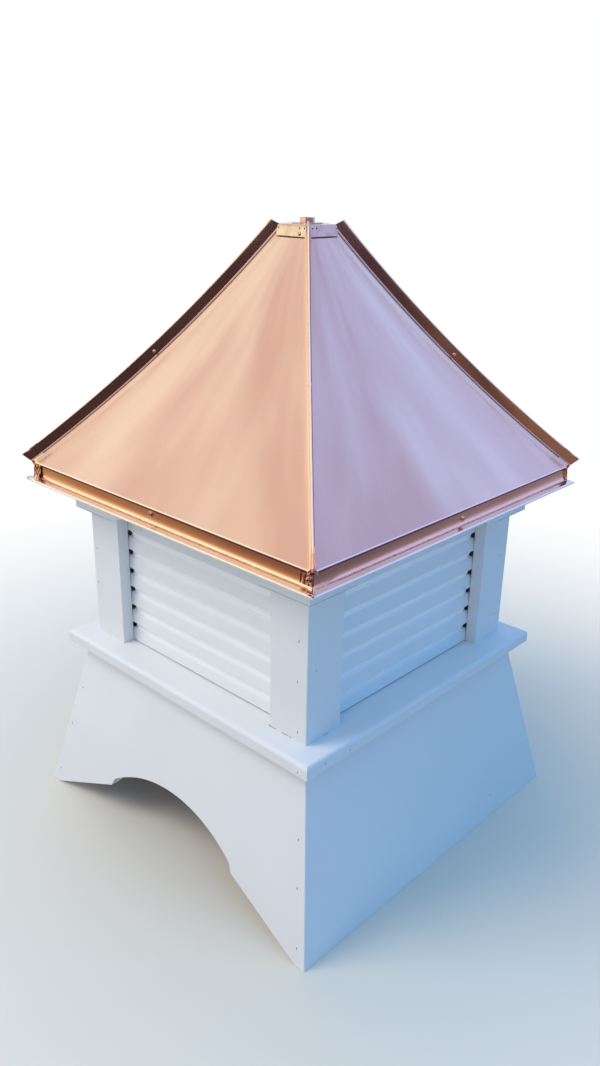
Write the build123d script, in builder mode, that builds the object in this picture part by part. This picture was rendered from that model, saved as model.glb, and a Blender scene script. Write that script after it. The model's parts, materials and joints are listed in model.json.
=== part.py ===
from build123d import *
import math
import os

# A barn cupola: a flared skirt with a saddle cut, a louvred box on a square sill, and a hollow
# curved copper roof with standing seams on its hips and a socket for a rod at its peak.
# Millimetres, +Z up. The origin is at the bottom centre. The front, with the saddle cut, faces -Y,
# the back repeats the front, and the right side, with a plain lower edge, faces +X.

# Boards
board = 19.0                # thickness of skirt, sill and post boards
header_board = 16.0         # thickness of the arched header boards
edge_round = 1.5            # eased corner arrises

# Skirt
base_width = 610.0          # outside, along the lower edge
skirt_top_width = 492.0     # outside, under the sill
skirt_height = 273.0
saddle_slope = 5 / 12       # rise over run of the saddle cut's straight edges
saddle_foot = 18.0          # flat left under each corner
arch_foot_half = 145.0      # where the leg's slope meets the notch of the saddle arch
arch_spring_half = 139.0
arch_notch = 13.0           # height of the notch
arch_crown = 115.0          # top of the saddle arch

# Sill
sill_width = 542.0
sill_board_width = 89.0
nosing = 6.0                # round on the sill's upper outer edge

# Louvred box
box_width = 470.0           # outside, over the corner posts
box_height = 261.5          # from the sill up to the eave board
post_width = 68.0           # face of each corner post
stud = 38.0                 # square stud behind each corner

# Louvres
blade_count = 8
blade_sheet = 2.5
blade_setback = 0.5         # from the posts' back face to the blade's lip
blade_lift = 1.0            # from the sill to the lowest lip
blade_top_gap = 2.1         # from the highest blade to the eave board
blade_end_gap = 0.6         # from a blade's end to the line of the post's edge
blade_lip_height = 14.5     # straight lower part of a blade
blade_lean = 8.0            # degrees that the lower part leans from upright
blade_tilt = 38.0           # degrees of the sloping part
blade_lower_bend = 14.0     # radius
blade_slope_length = 7.0    # length of the sloping part
blade_upper_bend = 8.0      # radius
blade_tab_height = 5.0      # upright top that is nailed to the batten
batten_width = 26.0
batten_depth = 19.0

# Headers
header_height = 44.5
header_arch_half = 160.0
header_arch_rise = 32.0
header_arch_round = 5.0     # round at the springing of the arch

# Eave board
eave_board_width = 606.0
eave_board_thickness = 2.5
eave_opening_round = 20.0   # corners of the opening inside the studs

# Copper roof
sheet = 1.0
fascia_height = 24.5        # from the eave board up to the lower bend
peak_half = 24.5            # centre to the upper end of the panels
peak_rise = 352.0           # from the lower bend up to the panels' upper end
roof_curve_depth = 11.3     # how far the panels curve in from a straight line
flange_margin = 2.0         # eave board left bare outside the flange
flange_width = 14.0
flange_drop = 2.0
bend_inset = 6.0            # from the flange's outer edge in to the lower bend
lip_width = 12.0            # sheet folded back under the lower bend
lip_drop = 3.0
cove_height = 12.0          # the fascia's lower part, which curves out to the flange
tab_width = 20.0            # tabs folded over from the sides, at the corners
tab_gap = 0.3               # round the tabs

# Hip seams
seam_thickness = 3.0
seam_height = 19.0
seam_hem_height = 7.0
seam_hem_thickness = 4.4
seam_overrun = 5.0          # how far the seam's outer corner runs past the panels' corner

# Cap and socket
cap_half = 31.0
cap_flange = 17.0
cap_flare = 2.0
cap_gap = 0.3               # between the cap's lower edge and the panels
cap_slot_clearance = 0.3    # beside the hem of each seam that passes through the cap
cap_slot_radius = 32.0      # from the centre to the notch's inner end
rod_hole = 11.0             # diameter
socket_across_corners = 22.0
socket_height = 6.0

# Timber inside the roof
rib_thickness = 12.0
rib_clearance = 0.2         # under the copper
rib_foot_setback = 0.6      # behind the fascia
rib_foot_length = 62.0      # along the hip
king_flats = 42.0           # across the flats of the eight-sided king block
king_length = 85.0
rod_hole_depth = 60.0       # in the king block

# Levels and places that follow from the sizes
base_half = base_width / 2
skirt_top_half = skirt_top_width / 2
board_level = board * math.hypot(base_half - skirt_top_half, skirt_height) / skirt_height
sill_top = skirt_height + board
sill_half = sill_width / 2
sill_inner_half = sill_half - sill_board_width
box_half = box_width / 2
opening_half = box_half - post_width
post_back = box_half - board
eave_opening = 2 * (post_back - stud)
eave_board_bottom = sill_top + box_height
eave_board_top = eave_board_bottom + eave_board_thickness
header_half = box_half + header_board
header_bottom = eave_board_bottom - header_height
flange_outer_half = eave_board_width / 2 - flange_margin
flange_inner_half = flange_outer_half - flange_width
eave_half = flange_outer_half - bend_inset
fascia_half = eave_half - lip_width
fascia_end_half = fascia_half - tab_width
eave_bend = eave_board_top + fascia_height
peak = eave_bend + peak_rise
seam_half = seam_thickness / 2

sides = {"front": 0, "right": 90, "back": 180, "left": 270}
corners = {"front_right": 45, "back_right": 135, "back_left": 225, "front_left": 315}


def elevation(angle, outward=0.0):
    """A plane that faces outward on one side: its X runs along the side and its Y is up."""
    a = math.radians(angle)
    return Plane(
        origin=(outward * math.sin(a), -outward * math.cos(a), 0),
        x_dir=(math.cos(a), math.sin(a), 0),
        z_dir=(math.sin(a), -math.cos(a), 0),
    )


def section(angle):
    """A plane across one side or corner: its X points outward and its Y is up."""
    a = math.radians(angle)
    return Plane(
        origin=(0, 0, 0),
        x_dir=(math.sin(a), -math.cos(a), 0),
        z_dir=(-math.cos(a), -math.sin(a), 0),
    )


def plan(angle, height=0.0):
    """A level plane turned with one side, so that the side lies towards its -Y."""
    a = math.radians(angle)
    return Plane(origin=(0, 0, height), x_dir=(math.cos(a), math.sin(a), 0), z_dir=(0, 0, 1))


def save(piece, name):
    """Labels a finished piece and writes its file."""
    piece.part.label = name
    export_step(piece.part, f"parts/{name}.step")


def mirrored(points):
    """Closes an outline whose right half is given, from the bottom up."""
    return points + [(-x, y) for x, y in reversed(points)]


os.makedirs("parts", exist_ok=True)

# Skirt boards: the front and back cover the ends of the two sides
for side in ("front", "back"):
    angle = sides[side]
    leg_rise = (base_half - saddle_foot - arch_foot_half) * saddle_slope
    with BuildPart() as skirt:
        with BuildSketch(section(angle)):
            with BuildLine():
                Polyline(
                    (base_half, 0),
                    (skirt_top_half, skirt_height),
                    (skirt_top_half - board_level, skirt_height),
                    (base_half - board_level, 0),
                    close=True,
                )
            make_face()
        extrude(amount=base_half, both=True)
        with BuildSketch(elevation(angle)):
            with BuildLine():
                Polyline(mirrored([(base_half, 0), (skirt_top_half, skirt_height)]), close=True)
            make_face()
        extrude(amount=base_width, both=True, mode=Mode.INTERSECT)
        corner_edges = skirt.edges().filter_by(lambda e: e.length > skirt_height).group_by(
            SortBy.DISTANCE
        )[-1]
        fillet(corner_edges, radius=edge_round)
        with BuildSketch(elevation(angle)):
            with BuildLine():
                right_foot = (base_half - saddle_foot, 0)
                right_notch = (arch_foot_half, leg_rise)
                right_spring = (arch_spring_half, leg_rise + arch_notch)
                left_foot = (-right_foot[0], 0)
                left_notch = (-right_notch[0], leg_rise)
                left_spring = (-right_spring[0], right_spring[1])
                Polyline(left_spring, left_notch, left_foot, right_foot, right_notch, right_spring)
                ThreePointArc(right_spring, (0, arch_crown), left_spring)
            make_face()
        extrude(amount=base_width, both=True, mode=Mode.SUBTRACT)
    save(skirt, f"skirt_{side}")

for side in ("left", "right"):
    angle = sides[side]
    with BuildPart() as skirt:
        with BuildSketch(section(angle)):
            with BuildLine():
                Polyline(
                    (base_half, 0),
                    (skirt_top_half, skirt_height),
                    (skirt_top_half - board_level, skirt_height),
                    (base_half - board_level, 0),
                    close=True,
                )
            make_face()
        extrude(amount=base_half, both=True)
        with BuildSketch(elevation(angle)):
            with BuildLine():
                Polyline(
                    mirrored([
                        (base_half - board_level, 0),
                        (skirt_top_half - board_level, skirt_height),
                    ]),
                    close=True,
                )
            make_face()
        extrude(amount=base_width, both=True, mode=Mode.INTERSECT)
    save(skirt, f"skirt_{side}")

# Sill boards, mitred at the corners, with a rounded upper edge
for side, angle in sides.items():
    with BuildPart() as sill:
        with BuildSketch(section(angle)):
            with BuildLine():
                Line((sill_half, skirt_height), (sill_half, sill_top - nosing))
                RadiusArc((sill_half, sill_top - nosing), (sill_half - nosing, sill_top), -nosing)
                Polyline(
                    (sill_half - nosing, sill_top),
                    (sill_inner_half, sill_top),
                    (sill_inner_half, skirt_height),
                    (sill_half, skirt_height),
                )
            make_face()
        extrude(amount=sill_half, both=True)
        with BuildSketch(plan(angle)):
            with BuildLine():
                Polyline((0, 0), (-sill_half, -sill_half), (sill_half, -sill_half), close=True)
            make_face()
        extrude(amount=sill_top, mode=Mode.INTERSECT)
    save(sill, f"sill_{side}")

# Corner posts: the front and back boards lap over the edges of the side boards
for side, angle in sides.items():
    lapped = side in ("left", "right")
    outer = post_back if lapped else box_half
    with BuildPart() as post:
        with BuildSketch(elevation(angle, box_half)):
            with Locations(
                ((outer + opening_half) / 2, sill_top + box_height / 2),
                (-(outer + opening_half) / 2, sill_top + box_height / 2),
            ):
                Rectangle(outer - opening_half, box_height)
        extrude(amount=-board)
        if not lapped:
            arrises = post.edges().filter_by(Axis.Z).group_by(SortBy.DISTANCE)[-1]
            fillet(arrises, radius=edge_round)
    save(post, f"post_boards_{side}")

# Studs behind the corner posts
with BuildPart() as studs:
    with BuildSketch(Plane.XY.offset(sill_top)):
        with GridLocations(2 * post_back - stud, 2 * post_back - stud, 2, 2):
            Rectangle(stud, stud)
    extrude(amount=box_height)
save(studs, "corner_studs")

# Louvre blades: bent strips that overlap like siding, open behind for air
lean = math.radians(blade_lean)
tilt = math.radians(blade_tilt)
lip_face = post_back - blade_setback
blade_recess = (
    blade_lip_height * math.sin(lean)
    + blade_lower_bend * (math.cos(lean) - math.cos(tilt))
    + blade_slope_length * math.sin(tilt)
    + blade_upper_bend * (1 - math.cos(tilt))
)
blade_height = (
    blade_lip_height * math.cos(lean)
    + blade_lower_bend * (math.sin(tilt) - math.sin(lean))
    + blade_slope_length * math.cos(tilt)
    + blade_upper_bend * math.sin(tilt)
    + blade_tab_height
)
blade_pitch = (box_height - blade_lift - blade_height - blade_top_gap) / (blade_count - 1)
batten_face = lip_face - blade_recess - blade_sheet
first_lip = sill_top + blade_lift

with BuildSketch(mode=Mode.PRIVATE) as blade_profile:
    with BuildLine():
        lip = PolarLine((0, 0), blade_lip_height, 90 + blade_lean)
        lower = JernArc(lip @ 1, lip % 1, blade_lower_bend, blade_tilt - blade_lean)
        slope = PolarLine(lower @ 1, blade_slope_length, 90 + blade_tilt)
        upper = JernArc(slope @ 1, slope % 1, blade_upper_bend, -blade_tilt)
        Line(upper @ 1, upper @ 1 + Vector(0, blade_tab_height))
        offset(amount=blade_sheet, side=Side.LEFT)
    make_face()

for side, angle in sides.items():
    with BuildPart() as louvre:
        with BuildSketch(section(angle)):
            with Locations(*[(lip_face, first_lip + i * blade_pitch) for i in range(blade_count)]):
                add(blade_profile.sketch)
        extrude(amount=opening_half - blade_end_gap, both=True)
    save(louvre, f"louvre_blades_{side}")

# Battens behind the blades
for side, angle in sides.items():
    with BuildPart() as battens:
        with BuildSketch(elevation(angle, batten_face)):
            with Locations(
                (opening_half - batten_width / 2, sill_top + box_height / 2),
                (-(opening_half - batten_width / 2), sill_top + box_height / 2),
            ):
                Rectangle(batten_width, box_height)
        extrude(amount=-batten_depth)
    save(battens, f"louvre_battens_{side}")

# Arched headers under the eave: the front and back cover the ends of the two sides
for side, angle in sides.items():
    half = box_half if side in ("left", "right") else header_half
    with BuildPart() as header:
        with BuildSketch(elevation(angle, header_half)) as face:
            with BuildLine():
                Polyline(
                    (header_arch_half, header_bottom),
                    (half, header_bottom),
                    (half, eave_board_bottom),
                    (-half, eave_board_bottom),
                    (-half, header_bottom),
                    (-header_arch_half, header_bottom),
                )
                ThreePointArc(
                    (-header_arch_half, header_bottom),
                    (0, header_bottom + header_arch_rise),
                    (header_arch_half, header_bottom),
                )
            make_face()
            along = Vector(elevation(angle).x_dir)
            springings = face.vertices().filter_by(
                lambda v: abs(abs(Vector(*v).dot(along)) - header_arch_half) < 0.01
            )
            fillet(springings, radius=header_arch_round)
        extrude(amount=-header_board)
    save(header, f"header_{side}")

# Eave board, open in the middle so that air reaches the roof space
with BuildPart() as eave_board:
    with BuildSketch(Plane.XY.offset(eave_board_bottom)):
        Rectangle(eave_board_width, eave_board_width)
        RectangleRounded(eave_opening, eave_opening, eave_opening_round, mode=Mode.SUBTRACT)
    extrude(amount=eave_board_thickness)
save(eave_board, "eave_board")

# The roof's curve in a section across one side: a hollow arc from the lower bend to the peak
chord_run = eave_half - peak_half
chord = math.hypot(chord_run, peak_rise)
roof_radius = (chord ** 2 / 4 + roof_curve_depth ** 2) / (2 * roof_curve_depth)
centre_x = (eave_half + peak_half) / 2 + (roof_radius - roof_curve_depth) * peak_rise / chord
centre_z = (eave_bend + peak) / 2 + (roof_radius - roof_curve_depth) * chord_run / chord


def roof_height(out):
    """Height of the roof's upper surface at a distance out from the centre."""
    return centre_z - math.sqrt(roof_radius ** 2 - (centre_x - out) ** 2)


def roof_point(out, rise):
    """A point in a section across one side, moved square to the roof's surface by rise."""
    run_out = centre_x - out
    drop = math.sqrt(roof_radius ** 2 - run_out ** 2)
    share = rise / roof_radius
    return (out + run_out * share, centre_z - drop + drop * share)


def hip_point(out, rise):
    """A point on the hip, in the upright plane along it, moved square to the hip by rise."""
    run_out = centre_x - out
    fall = run_out / math.sqrt(roof_radius ** 2 - run_out ** 2) / math.sqrt(2)
    length = math.hypot(fall, 1)
    return (out * math.sqrt(2) + rise * fall / length, roof_height(out) + rise / length)


flange_fold = (flange_inner_half, eave_board_top + sheet + flange_drop)
cove_top = (fascia_half, flange_fold[1] + cove_height)
lip_fold = (fascia_half, eave_bend - lip_drop)
mitre_reach = flange_outer_half + sheet
mitre_gap = seam_half * math.sqrt(2)
fold_lip = eave_bend - 2 * sheet
notch_bottom = flange_fold[1]


def mitre(angle):
    """The outline in plan of one side of the roof, clear of the seams on its two hips."""
    with BuildSketch(plan(angle), mode=Mode.PRIVATE) as outline:
        with BuildLine():
            Polyline(
                (0, -mitre_gap),
                (-mitre_reach, -mitre_reach - mitre_gap),
                (mitre_reach, -mitre_reach - mitre_gap),
                close=True,
            )
        make_face()
    return outline.sketch


# Copper panels: one sheet from the peak to the flange that lies on the eave board
for side, angle in sides.items():
    with BuildPart() as panel:
        with BuildSketch(section(angle)):
            with BuildLine():
                SagittaArc((peak_half, peak), (eave_half, eave_bend), -roof_curve_depth)
                Polyline((eave_half, eave_bend), lip_fold, cove_top)
                TangentArc(cove_top, flange_fold, tangent=(0, -1))
                Line(flange_fold, (flange_outer_half, eave_board_top + sheet))
                offset(amount=sheet, side=Side.RIGHT)
            make_face()
        extrude(amount=mitre_reach, both=True)
        extrude(mitre(angle), amount=peak + seam_height, mode=Mode.INTERSECT)
        if side in ("front", "back"):
            notch_width = mitre_reach - fascia_end_half
            with BuildSketch(elevation(angle)):
                with Locations(
                    (fascia_end_half + notch_width / 2, (notch_bottom + fold_lip) / 2),
                    (-fascia_end_half - notch_width / 2, (notch_bottom + fold_lip) / 2),
                ):
                    Rectangle(notch_width, fold_lip - notch_bottom)
            extrude(amount=mitre_reach, both=True, mode=Mode.SUBTRACT)
    save(panel, f"roof_panel_{side}")

# Tabs folded round the corners from the left and right fascias, which close the notches
with BuildPart() as tabs:
    with BuildSketch(section(sides["front"])):
        with BuildLine():
            Line(lip_fold, cove_top)
            TangentArc(cove_top, flange_fold, tangent=(0, -1))
            offset(amount=sheet, side=Side.RIGHT)
        make_face()
    extrude(amount=mitre_reach, both=True)
    extrude(mitre(sides["front"]), amount=fold_lip - tab_gap, mode=Mode.INTERSECT)
    with BuildSketch(elevation(sides["front"])):
        Rectangle(2 * (fascia_end_half + tab_gap), 2 * eave_bend)
        Rectangle(2 * mitre_reach, 2 * (notch_bottom + tab_gap))
    extrude(amount=mitre_reach, both=True, mode=Mode.SUBTRACT)
    mirror(about=Plane.XZ)
save(tabs, "eave_corner_tabs")

# Hip seams: two plies standing on each hip, with a folded hem along the top
hip_steps = 8
hip_stations = [peak_half + (eave_half - peak_half) * i / hip_steps for i in range(hip_steps + 1)]


def run_out(edge, rise):
    """The lower end of a line along the hip, run past the panels' corner in step with its rise."""
    return edge @ 1 + (edge % 1) * (seam_overrun * max(rise, 0) / seam_height)


for corner, angle in corners.items():
    with BuildPart() as seam:
        for low, width in (
            (-sheet, seam_thickness),
            (seam_height - seam_hem_height, seam_hem_thickness),
        ):
            with BuildSketch(section(angle)):
                with BuildLine():
                    foot = Spline(*[hip_point(out, low) for out in hip_stations])
                    crest = Spline(*[hip_point(out, seam_height) for out in hip_stations])
                    Polyline(crest @ 1, run_out(crest, seam_height), run_out(foot, low))
                    if low > 0:
                        Line(run_out(foot, low), foot @ 1)
                    Line(foot @ 0, crest @ 0)
                make_face()
            extrude(amount=width / 2, both=True)
    save(seam, f"hip_seam_{corner}")

# Cap over the peak, notched at its corners for the seams
cap_bottom_half = cap_half + cap_flare
cap_bottom = roof_height(cap_bottom_half - sheet) + cap_gap
cap_top = cap_bottom + cap_flange
with BuildPart() as cap:
    with BuildSketch(Plane.XY.offset(cap_bottom)):
        Rectangle(2 * cap_bottom_half, 2 * cap_bottom_half)
    with BuildSketch(Plane.XY.offset(cap_top)):
        Rectangle(2 * cap_half, 2 * cap_half)
    loft()
    with BuildSketch(Plane.XY.offset(cap_bottom)):
        Rectangle(2 * (cap_bottom_half - sheet), 2 * (cap_bottom_half - sheet))
    with BuildSketch(Plane.XY.offset(cap_top - sheet)):
        Rectangle(2 * (cap_half - sheet), 2 * (cap_half - sheet))
    loft(mode=Mode.SUBTRACT)
    slot_length = cap_half
    slot_width = seam_hem_thickness + 2 * cap_slot_clearance
    with BuildSketch(Plane.XY.offset(cap_bottom)):
        with PolarLocations(cap_slot_radius + slot_length / 2, 4, start_angle=45):
            Rectangle(slot_length, slot_width)
        Circle(rod_hole / 2)
    extrude(amount=2 * cap_flange, mode=Mode.SUBTRACT)
save(cap, "peak_cap")

# Hexagonal socket for a rod
with BuildPart() as socket:
    with BuildSketch(Plane.XY.offset(cap_top)):
        RegularPolygon(socket_across_corners / 2, 6)
        Circle(rod_hole / 2, mode=Mode.SUBTRACT)
    extrude(amount=socket_height)
save(socket, "rod_socket")

# King block under the cap
with BuildPart() as king:
    with BuildSketch(Plane.XY.offset(cap_top - sheet)):
        RegularPolygon(king_flats / 2, 8, major_radius=False, rotation=22.5)
    extrude(amount=-king_length)
    with BuildSketch(Plane.XY.offset(cap_top - sheet)):
        Circle(rod_hole / 2)
    extrude(amount=-rod_hole_depth, mode=Mode.SUBTRACT)
save(king, "king_block")

# Ribs under the hips, from the king block down to the eave board
with BuildPart() as ribs:
    king_bottom = cap_top - sheet - king_length
    rib_foot = (fascia_half - sheet - rib_foot_setback) * math.sqrt(2) - rib_thickness / 2
    for angle in corners.values():
        with BuildSketch(section(angle)):
            with BuildLine():
                Polyline(
                    (king_flats / 2, king_bottom),
                    (rib_foot - rib_foot_length, eave_board_top),
                    (rib_foot, eave_board_top),
                    (rib_foot, peak),
                    (king_flats / 2, peak),
                    close=True,
                )
            make_face()
        extrude(amount=rib_thickness / 2, both=True)
    for angle in (0, 90):
        with BuildSketch(section(angle)):
            with BuildLine():
                under = -sheet - rib_clearance
                inside_top = roof_point(peak_half, under)
                inside_middle = roof_point((peak_half + eave_half) / 2, under)
                inside_foot = roof_point(eave_half, under)
                ThreePointArc(inside_top, inside_middle, inside_foot)
                Polyline(
                    inside_foot,
                    (inside_foot[0], eave_board_top),
                    (0, eave_board_top),
                    (0, inside_top[1]),
                    inside_top,
                )
            make_face()
            mirror(about=Plane.YZ)
        extrude(amount=base_half, both=True, mode=Mode.INTERSECT)
save(ribs, "hip_ribs")
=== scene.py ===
# %% [markdown]
# This lesson dresses a barn cupola: a white flared skirt, a white louvred box and a roof of
# bright copper sheet. The CAD frame brings every board and sheet at its real size and place.
# Blender then adds what a designer leaves to the finish: soft folds, dents, fasteners and paint.

# %% Load the frame
import bpy
import bmesh
import json
import math
from mathutils import Matrix, Vector, noise


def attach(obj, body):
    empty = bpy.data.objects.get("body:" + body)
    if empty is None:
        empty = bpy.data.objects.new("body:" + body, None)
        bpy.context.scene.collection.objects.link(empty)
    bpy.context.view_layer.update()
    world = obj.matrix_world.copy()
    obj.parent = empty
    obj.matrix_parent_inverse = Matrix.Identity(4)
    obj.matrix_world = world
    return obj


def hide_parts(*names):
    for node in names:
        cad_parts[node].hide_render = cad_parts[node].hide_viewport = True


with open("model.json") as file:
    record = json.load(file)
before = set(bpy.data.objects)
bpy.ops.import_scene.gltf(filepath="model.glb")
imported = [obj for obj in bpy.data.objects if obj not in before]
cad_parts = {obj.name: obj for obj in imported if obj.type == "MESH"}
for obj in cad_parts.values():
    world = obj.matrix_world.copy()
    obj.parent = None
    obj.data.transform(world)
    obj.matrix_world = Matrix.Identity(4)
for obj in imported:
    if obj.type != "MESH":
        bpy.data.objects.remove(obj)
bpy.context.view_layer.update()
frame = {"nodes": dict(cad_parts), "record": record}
mm = 0.001

# %% [markdown]
# The camera stands a little above the roof's peak and looks down at the front corner. Its place
# and lens were fitted to the real corners of the cupola, so the picture and the frame agree.

# %% Camera
sensor_width = 36
picture_height = 1066
focal_pixels = 911.9
camera_data = bpy.data.cameras.new("camera")
camera_data.sensor_width = sensor_width
camera_data.lens = focal_pixels * sensor_width / picture_height
camera = bpy.data.objects.new("camera", camera_data)
bpy.context.scene.collection.objects.link(camera)
camera.matrix_world = (
    Matrix.Translation((0.928, -0.990, 1.001))
    @ Matrix.Rotation(math.radians(43.262), 4, "Z")
    @ Matrix.Rotation(math.radians(90 - 21.520), 4, "X")
    @ Matrix.Rotation(math.radians(0.995), 4, "Z")
)
bpy.context.scene.camera = camera
print("lens", round(camera_data.lens, 2), "mm")

# %% [markdown]
# The world, the floor and every finish are small trees of nodes. One helper adds a node, sets its
# properties and fills its inputs, each with a plain value or with another node's output. It keeps
# each tree short enough to read as a recipe.

# %% A helper for nodes
def add_node(tree, kind, inputs=None, **settings):
    """Adds a shader node with its settings and with its inputs filled."""
    node = tree.nodes.new("ShaderNode" + kind)
    for name, value in settings.items():
        setattr(node, name, value)
    for socket, value in (inputs or {}).items():
        if isinstance(value, bpy.types.NodeSocket):
            tree.links.new(value, node.inputs[socket])
        else:
            node.inputs[socket].default_value = value
    return node


print("helper for nodes:", add_node.__name__)

# %% [markdown]
# Bright copper shows its surroundings more than its own colour. The world is therefore a soft
# gradient: neutral white in front and on the left, cool on the right and behind, so that the two
# sides of the roof part in tone, with a band of stronger tones near the ground. The boards get a
# plainer gradient as their light, and the background itself is plain white for the camera.

# %% World
bpy.context.scene.view_settings.view_transform = "Standard"
world = bpy.data.worlds.new("studio")
bpy.context.scene.world = world
world.use_nodes = True
tree = world.node_tree
tree.nodes.clear()
place = add_node(tree, "TexCoord").outputs["Generated"]
height = add_node(tree, "SeparateXYZ", {"Vector": place}).outputs["Z"]
toward_key = add_node(tree, "VectorMath", {0: place, 1: (-0.69, -0.72, 0.0)}, operation="DOT_PRODUCT")
spread = add_node(tree, "MapRange",
                  {"Value": toward_key.outputs["Value"], "From Min": -0.6, "From Max": 0.5})


def side_tones(cool, warm):
    """A smooth change from one tone, away from the key lamp, to another towards it."""
    ramp = add_node(tree, "ValToRGB", {"Fac": spread.outputs["Result"]})
    ramp.color_ramp.interpolation = "EASE"
    ramp.color_ramp.elements[0].color = (*cool, 1)
    ramp.color_ramp.elements[1].color = (*warm, 1)
    return ramp.outputs["Color"]


def mixed(factor, tone_a, tone_b):
    """Two tones mixed by a factor."""
    inputs = {"Factor": factor, "A": tone_a, "B": tone_b}
    return add_node(tree, "Mix", inputs, data_type="RGBA").outputs["Result"]


top_light = add_node(tree, "MapRange", {"Value": height, "To Min": 0.88, "To Max": 1.55})
board_tones = side_tones((0.12, 0.44, 0.88), (0.46, 0.465, 0.485))
for_boards = add_node(tree, "VectorMath", {"Vector": board_tones, "Scale": top_light.outputs["Result"]},
                      operation="SCALE")
low_band = add_node(tree, "MapRange", {"Value": height, "From Min": 0.16, "From Max": 0.5},
                    interpolation_type="SMOOTHSTEP")
for_copper = mixed(low_band.outputs["Result"], side_tones((0.60, 0.64, 1.33), (1.35, 1.30, 1.12)),
                   side_tones((0.52, 0.74, 1.44), (0.95, 0.95, 0.94)))
rays = add_node(tree, "LightPath").outputs
lit = mixed(rays["Is Diffuse Ray"], for_copper, for_boards.outputs["Vector"])
white_for_camera = mixed(rays["Is Camera Ray"], lit, (1, 1, 1, 1))
background = add_node(tree, "Background", {"Color": white_for_camera, "Strength": 1.0})
add_node(tree, "OutputWorld", {"Surface": background.outputs["Background"]})
print("world nodes", len(tree.nodes))

# %% [markdown]
# One large soft lamp at the front left gives the boards their light side. The lamp is broad, so
# that shadows under the eaves and between the blades stay soft. The copper doesn't mirror it.

# %% Key lamp
lamp_data = bpy.data.lights.new("key_lamp", "AREA")
lamp_data.shape = "SQUARE"
lamp_data.size = 1.8
lamp_data.energy = 60
lamp_data.color = (1.0, 0.985, 0.96)
key_lamp = bpy.data.objects.new("key_lamp", lamp_data)
bpy.context.scene.collection.objects.link(key_lamp)
key_lamp.location = (-1.35, -2.1, 2.75)
aim = Vector((0, 0, 0.5)) - key_lamp.location
key_lamp.rotation_euler = aim.to_track_quat("-Z", "Y").to_euler()
key_lamp.visible_glossy = False
print("lamp", key_lamp.name, "with", lamp_data.energy, "W")

# %% [markdown]
# The floor is a wide pale sheet. Near the cupola it keeps the shadow, and further out it fades
# to the white of the background for the camera, so that no horizon shows. Two helpers made here,
# for a mesh object and for a new material, serve every later piece.

# %% Floor
floor_radius = 14.0
floor_drop = 0.5 * mm


def mesh_object(name, shaper):
    """Turns a bmesh into an object of the scene, and frees the bmesh."""
    mesh = bpy.data.meshes.new(name)
    shaper.to_mesh(mesh)
    shaper.free()
    made = bpy.data.objects.new(name, mesh)
    bpy.context.scene.collection.objects.link(made)
    return made


def new_material(name):
    """A new material, with its node tree and its shader's inputs."""
    material = bpy.data.materials.new(name)
    material.use_nodes = True
    tree = material.node_tree
    return material, tree, tree.nodes["Principled BSDF"].inputs


shaper = bmesh.new()
bmesh.ops.create_circle(shaper, cap_ends=True, segments=96, radius=floor_radius)
floor = mesh_object("floor", shaper)
floor.location.z = -floor_drop
floor_paint, tree, paint_inputs = new_material("floor_paint")
paint_inputs["Base Color"].default_value = (0.74, 0.69, 0.60, 1)
paint_inputs["Roughness"].default_value = 0.9
place = add_node(tree, "TexCoord").outputs["Object"]
reach = add_node(tree, "VectorMath", {0: place}, operation="LENGTH")
fade = add_node(tree, "MapRange", {"Value": reach.outputs["Value"], "From Min": 0.25, "From Max": 1.6},
                interpolation_type="SMOOTHSTEP")
for_camera = add_node(tree, "Math", {0: fade.outputs["Result"],
                                     1: add_node(tree, "LightPath").outputs["Is Camera Ray"]},
                      operation="MULTIPLY")
white = add_node(tree, "Emission", {"Color": (1, 1, 1, 1)})
blend = add_node(tree, "MixShader", {"Fac": for_camera.outputs["Value"],
                                     1: tree.nodes["Principled BSDF"].outputs["BSDF"],
                                     2: white.outputs["Emission"]})
tree.links.new(blend.outputs["Shader"], tree.nodes["Material Output"].inputs["Surface"])
floor.data.materials.append(floor_paint)
print("floor radius", floor_radius, "m")

# %% [markdown]
# Photographers set dark cards round bright metal, to give its folds and edges a dark side. Here a
# curved screen in four dark tones stands before the front corner, and rings of cloth lie on the
# floor, warm ones on the left and cooler ones on the right, paler further out. Each glows in its
# own plain tone, and only reflections see it, so it hides nothing and throws no shadow.

# %% Dark cards for reflections
def reflection_card(name, shaper, tone):
    """A staged surface in one glowing tone that only reflections see."""
    card = mesh_object(name, shaper)
    for ray in ("camera", "diffuse", "transmission", "shadow"):
        setattr(card, "visible_" + ray, False)
    paint, _, inputs = new_material(name + "_paint")
    for socket, value in (("Base Color", (0, 0, 0, 1)), ("Roughness", 1.0), ("Specular IOR Level", 0.0),
                          ("Emission Color", (*tone, 1)), ("Emission Strength", 1.0)):
        inputs[socket].default_value = value
    card.data.materials.append(paint)


def ring_card(profile, start, end, steps=32):
    """A card swept round the upright axis: (radius, height) points over a range of degrees."""
    shaper = bmesh.new()
    rows = []
    for radius, up in profile:
        row = []
        for i in range(steps + 1):
            a = math.radians(start + (end - start) * i / steps)
            row.append(shaper.verts.new((radius * math.cos(a), radius * math.sin(a), up)))
        rows.append(row)
    for low, high in zip(rows, rows[1:]):
        for i in range(steps):
            shaper.faces.new((low[i], low[i + 1], high[i + 1], high[i]))
    return shaper


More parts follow.
